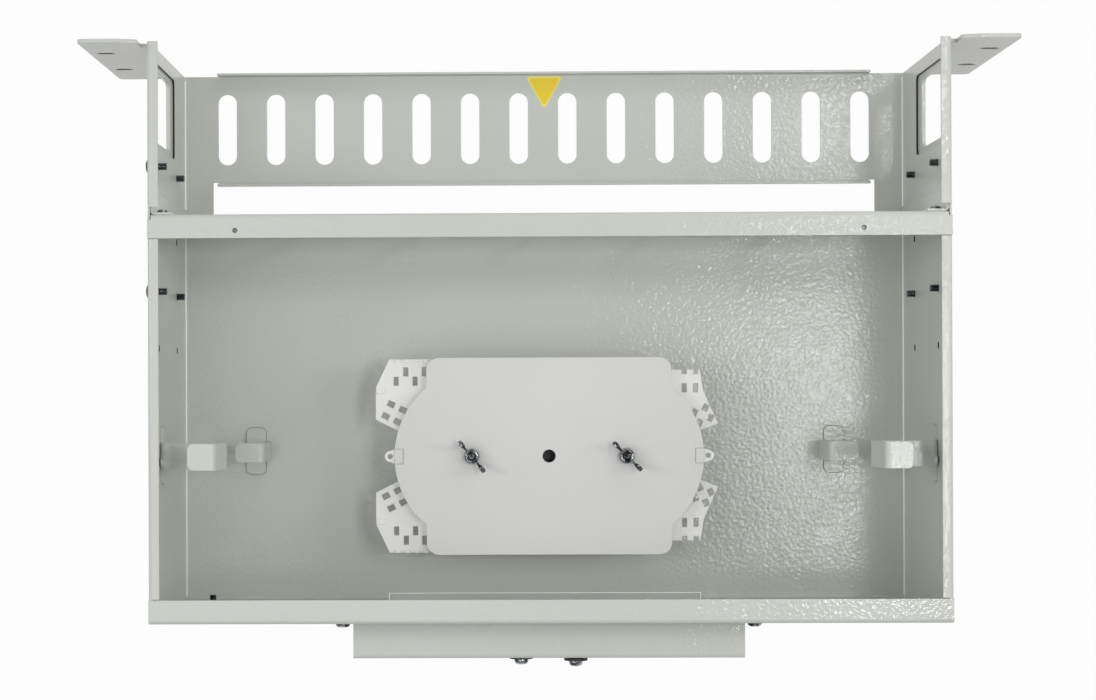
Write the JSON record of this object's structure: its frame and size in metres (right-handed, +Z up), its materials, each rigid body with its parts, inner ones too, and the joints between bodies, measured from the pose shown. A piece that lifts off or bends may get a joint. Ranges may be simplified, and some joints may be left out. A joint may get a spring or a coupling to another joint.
{
  "type": "fibre patch panel",
  "caption": "Rack-mounted optical fibre patch panel: open folded steel shelf with rack ears, slotted front apron, adapter bays, cable hooks, a splice tray and a rear cable hood.",
  "frame": {"origin": "on the underside of the floor, under the middle of the chassis", "axes": "+Z up, front with the rack ears towards -Y, +X to the right seen from the front"},
  "size_m": [0.4826, 0.3265, 0.1325],
  "materials": {
    "powder_coat": "light grey textured powder coat",
    "zinc_plate": "bright zinc plate",
    "tray_plastic": "matt white moulding",
    "dark_steel": "blackened"
  },
  "bodies": {
    "shelf": {"chassis": "powder_coat", "front_panel": "powder_coat", "cable_hood": "powder_coat", "panel_angle_left": "powder_coat", "panel_angle_right": "powder_coat", "rack_ear_left": "powder_coat", "rack_ear_right": "powder_coat", "wall_hook_left": "powder_coat", "wall_hook_right": "powder_coat", "floor_hook_left": "powder_coat", "floor_hook_right": "powder_coat", "cover_nuts": "zinc_plate", "panel_screws": "zinc_plate", "hood_screws": "zinc_plate", "hood_washers": "zinc_plate", "hood_nuts": "zinc_plate", "clamp_nuts": "zinc_plate", "earth_screw": "zinc_plate", "ear_screws_left": "zinc_plate", "ear_screws_right": "zinc_plate", "tray_stud_left": "zinc_plate", "tray_stud_right": "zinc_plate", "tray_spacer_left": "zinc_plate", "tray_spacer_right": "zinc_plate", "clamp_screw_left": "zinc_plate", "clamp_screw_right": "zinc_plate", "splice_tray": "tray_plastic", "splice_comb": "tray_plastic", "tray_lid": "tray_plastic", "clamp_washers": "dark_steel"},
    "nut_left": {"wing_nut_left": "zinc_plate"},
    "nut_right": {"wing_nut_right": "zinc_plate"}
  },
  "joints": [
    {"name": "wing_nut_left_turn", "type": "hinge", "parent": "shelf", "child": "nut_left", "pos_m": [-0.0441, 0.0667, 0.0466], "axis": [0, 0, 1], "continuous": true},
    {"name": "wing_nut_right_turn", "type": "hinge", "parent": "shelf", "child": "nut_right", "pos_m": [0.0407, 0.0667, 0.0466], "axis": [0, 0, 1], "continuous": true}
  ]
}
